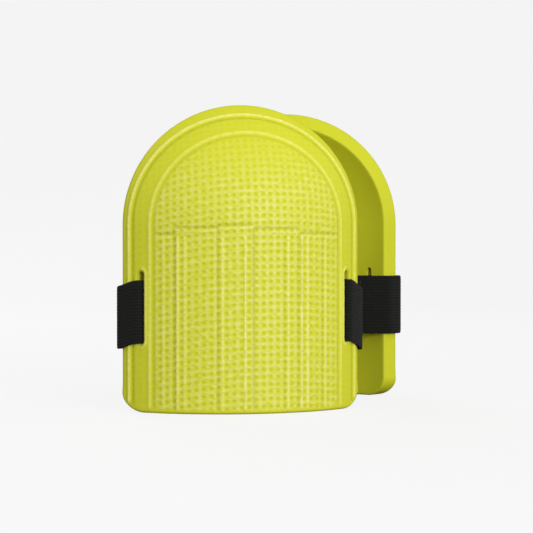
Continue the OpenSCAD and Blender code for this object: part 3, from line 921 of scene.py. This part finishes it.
LOOPS = textile("loop_tape", linear(9, 9, 9), linear(34, 34, 33), 1300.0, 1300.0, 0.1 * MM,
                Roughness=0.9, Specular_IOR_Level=0.1, Sheen_Weight=0.15, Sheen_Roughness=0.4)
band_face = BAND_Y + WEB_T / 2
loop_base = slab(LOOP_X, LOOP_L, band_face, band_face + PILE_BASE)
for pad in PADS:
    sew_tape("loop", pad, "strap", loop_base, pile_lines(), PILE_R, LOOPS)

# ------------------------------
# Stitching. Black bonded polyester thread, sewn by machine in a lockstitch: round the sewn end and both
# tapes, and across each hem.

STITCH_L = 2.4 * MM
STITCH_STEP = 3.4 * MM
THREAD_R = 0.34 * MM
THREAD_UP = 0.06 * MM       # of a stitch's middle above the face
STITCH_INSET = 2 * MM


def stitch_line(start, end):
    """Middles and directions of the stitches between two places (x, z), evenly spaced and centred."""
    start, end = np.asarray(start), np.asarray(end)
    length = np.hypot(*(end - start))
    count = max(1, int((length + STITCH_STEP - STITCH_L) / STITCH_STEP))
    at = (np.arange(count) - (count - 1) / 2) * STITCH_STEP / length + 0.5
    return start + at[:, None] * (end - start), np.repeat([(end - start) / length], count, 0)


def stitch_box(x0, x1, half):
    """Stitches along the four sides of a rectangle, half of it above the webbing's middle."""
    z0, z1 = WEB_Z - half, WEB_Z + half
    corners = [(x0, z0), (x1, z0), (x1, z1), (x0, z1)]
    runs = [stitch_line(corners[i - 1], corners[i]) for i in (1, 2, 3, 0)]
    return [np.concatenate(part) for part in zip(*runs)]


def thread_object(name, places, y, facing):
    """Stitches as small spindles that lie half sunk in the face at y. Rings of six points stand at seven
    stations from -1 to 1, and their radius goes with the square root of 1 - 0.94 t^4. facing is 1 where the
    face looks along +Y, else -1."""
    middles, ways = places
    stations, sides = 7, 6
    t = np.linspace(-1, 1, stations)
    thick = THREAD_R * np.sqrt(np.clip(1 - 0.94 * t ** 4, 0, 1))
    around = np.arange(sides) * 2 * pi / sides
    side = np.stack([-ways[:, 1], ways[:, 0]], -1)
    flat = (middles[:, None, None] + ways[:, None, None] * (t * STITCH_L / 2)[None, :, None, None]
            + side[:, None, None] * (thick[:, None] * np.cos(around))[None, :, :, None])
    rise = (thick[:, None] * np.sin(around) * 0.8 + THREAD_UP)[None] * facing
    points = np.stack([flat[..., 0], np.broadcast_to(y + rise, flat.shape[:3]), flat[..., 1]], -1)
    stride = stations * sides
    ends = np.array([range(sides), range(stride - 1, stride - 1 - sides, -1)])
    faces = repeated(quads_between(stations, sides), len(middles), stride)
    faces += repeated(ends, len(middles), stride)
    obj = mesh_object(name, points.reshape(-1, 3), faces)
    faces_outwards(obj)
    return obj


def thread_material():
    """Twisted thread: a fine diagonal twist from a wave, with painted shade in its grooves, slightly glossier
    than the webbing.
    """
    material, n, shader = new_material("thread", Roughness=0.5, Specular_IOR_Level=0.45, Sheen_Weight=0.2)
    where = n.add("ShaderNodeTexCoord").outputs["Object"]
    twist = n.add("ShaderNodeTexWave", {"Vector": where, "Scale": 700.0, "Distortion": 1.5},
                  bands_direction="DIAGONAL")
    # Painted shade in the grooves of the twist, and the crests paler.
    n.link(n.mix(twist.outputs["Fac"], linear(20, 20, 19), linear(62, 62, 58)), shader, "Base Color")
    n.bump(shader, twist.outputs["Fac"], 0.5, 0.1 * MM)
    return material


THREAD = thread_material()
half_web = WEB_W / 2 - STITCH_INSET
half_tape = TAPE_W / 2 - STITCH_INSET
hem_x = TIP_X - HEM_L + STITCH_INSET
seams = {
    "end_stitches": ("strap", SEWN_Y + WEB_T / 2, 1, stitch_box(
        LANDING_X - SEWN + STITCH_INSET, LANDING_X - STITCH_INSET, half_web)),
    "loop_stitches": ("strap", BAND_Y - WEB_T / 2, -1, stitch_box(
        LOOP_X + STITCH_INSET, LOOP_X + LOOP_L - STITCH_INSET, half_tape)),
    "hook_stitches": ("tail", TAIL_Y + WEB_T / 2, 1, stitch_box(
        HOOK_X + STITCH_INSET, HOOK_X + HOOK_L - HEM_L, half_tape)),
    "hem_stitches": ("tail", TAIL_Y + WEB_T * 3 / 2, 1, stitch_line(
        (hem_x, WEB_Z - half_web), (hem_x, WEB_Z + half_web))),
}
for seam, (body, face_y, facing, places) in seams.items():
    for pad in PADS:
        piece = thread_object(f"{pad}_{seam}_thread", places, face_y, facing)
        lower(piece, pad, body)
        dress(stand(piece, pad), pad, body, "thread", THREAD, seam)

# ------------------------------
# Studio. A seamless pale sweep, soft lights, and the camera at the photograph's viewing angle: it stands
# to the left of the front pad's axis, a little above the pads' middle.

PAPER_GLOW = 0.83
AIR_LOW, AIR_HIGH = 0.97, 0.60      # light of the air near the floor and overhead
FLOOR_NEAR, FLOOR_FAR, SWEEP_R, SWEEP_TOP, SWEEP_HALF = -2.2, 1.5, 0.8, 3.0, 3.5


def sweep_object():
    """Floor and wall as one sheet: straight, a quarter circle, and straight up."""
    t = np.linspace(0, pi / 2, 33)
    bend = np.stack([FLOOR_FAR + SWEEP_R * np.sin(t), SWEEP_R * (1 - np.cos(t))], -1)
    line = np.concatenate([[[FLOOR_NEAR, 0]], bend, [[FLOOR_FAR + SWEEP_R, SWEEP_TOP]]])
    sides = np.array([-SWEEP_HALF, SWEEP_HALF])
    points = np.stack(np.broadcast_arrays(sides[None], line[:, :1], line[:, 1:]), -1).reshape(-1, 3)
    return mesh_object("studio_sweep", points, quads_between(len(line), 2, closed=False)[:, ::-1].tolist())


def sweep_material():
    """Matt paper with a trace of tooth. The camera also sees a glow on it, so that it stays an even pale
    grey, and the glow lights nothing."""
    material, n, shader = new_material("studio_paper", Roughness=0.95, Specular_IOR_Level=0.1)
    tooth = n.add("ShaderNodeTexNoise", {"Scale": 220.0, "Detail": 3.0})
    n.link(n.mix(tooth.outputs["Fac"], linear(86, 86, 86), linear(92, 92, 92)), shader, "Base Color")
    shader.inputs["Emission Color"].default_value = (1, 1, 1, 1)
    seen = n.add("ShaderNodeLightPath").outputs["Is Camera Ray"]
    n.link(n.math("MULTIPLY", seen, PAPER_GLOW), shader, "Emission Strength")
    return material


sweep = sweep_object()
sweep.data.materials.append(sweep_material())

PAD_MIDDLE = (0.02, 0.04, 0.10)


def soft_light(name, at, size, watts):
    """A square area light at a place, turned towards the middle of the pads."""
    lamp = bpy.data.lights.new(name, "AREA")
    lamp.size, lamp.energy = size, watts
    obj = scene_object(name, lamp)
    obj.location = at
    obj.rotation_euler = (Vector(PAD_MIDDLE) - Vector(at)).to_track_quat("-Z", "Y").to_euler()


soft_light("key", (0.55, -1.6, 0.36), 0.6, 18)
soft_light("fill", (-1.2, -1.1, 0.4), 1.0, 1.5)
soft_light("back", (-0.3, 1.5, 1.0), 1.0, 9)
world = bpy.data.worlds.new("studio_air")
world.use_nodes = True
air = Nodes(world.node_tree)
height = air.add("ShaderNodeSeparateXYZ", {0: air.add("ShaderNodeTexCoord").outputs["Generated"]}).outputs[2]
background = world.node_tree.nodes["Background"]
background.inputs["Color"].default_value = (1, 1, 1, 1)
air.link(air.span(height, 0.1, 0.9, AIR_LOW, AIR_HIGH), background, "Strength")
bpy.context.scene.world = world
bpy.context.scene.view_settings.view_transform = "Standard"

PHOTO = 533                 # pixels along each side of the photograph
VIEW_TURN = radians(11.86)  # the camera stands this far to the left of the front pad's axis
VIEW_D = 1.227              # from the camera to the middle of the front pad's open side
VIEW_H = 0.117              # eye level above the floor
PX_AT_PAD = 0.000642        # metres that one pixel spans there
PAD_PX = 241.4              # where the middle of the open side falls across the photograph
HORIZON_PX = 227            # how far down it eye level falls
SENSOR = 36                 # millimetres
pad_mid = np.array([0, AXIS_Y - SHELL_R * cos(WRAP)])
look = np.array([sin(VIEW_TURN), cos(VIEW_TURN)])
right = np.array([look[1], -look[0]])
axis_at = pad_mid + (PHOTO / 2 - PAD_PX) * PX_AT_PAD * right
camera = bpy.data.cameras.new("photo_view")
camera.lens = VIEW_D / PX_AT_PAD * SENSOR / PHOTO
camera.sensor_width = SENSOR
viewer = scene_object("photo_view", camera)
viewer.location = (*(axis_at - VIEW_D * look), VIEW_H)
viewer.rotation_euler = (pi / 2 - atan2((PHOTO / 2 - HORIZON_PX) * PX_AT_PAD, VIEW_D), 0, -VIEW_TURN)
bpy.context.scene.camera = viewer
